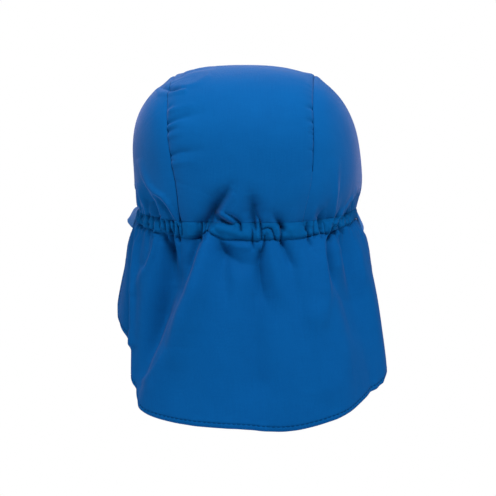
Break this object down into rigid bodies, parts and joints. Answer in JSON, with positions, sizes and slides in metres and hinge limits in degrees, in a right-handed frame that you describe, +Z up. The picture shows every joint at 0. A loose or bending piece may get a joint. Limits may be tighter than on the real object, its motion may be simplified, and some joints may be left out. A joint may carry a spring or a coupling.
{
  "type": "legionnaire cap",
  "caption": "Child's soft cloth legionnaire cap: panelled dome crown, soft curved peak and a long neck flap hung from a gathered elastic casing.",
  "frame": {"origin": "middle of the head opening, level with the rim at the temples, where a head carries the cap", "axes": "+Z up through the crown, -Y out along the peak, +Y towards the nape, +X towards the wearer's left"},
  "size_m": [0.1828, 0.2337, 0.2305],
  "materials": {
    "crown_cloth": "close plain-weave microfibre, mid blue, soft satin sheen",
    "casing_cloth": "the same cloth doubled over elastic and topstitched, finely gathered",
    "flap_cloth": "the same cloth in one layer with a narrow stitched hem",
    "peak_cloth": "the same cloth in two layers over a soft core, edge topstitched"
  },
  "bodies": {
    "root": {"crown_center_panel": "crown_cloth", "crown_side_panel_left": "crown_cloth", "crown_side_panel_right": "crown_cloth", "nape_casing": "casing_cloth", "neck_flap": "flap_cloth", "peak": "peak_cloth"}
  },
  "joints": []
}
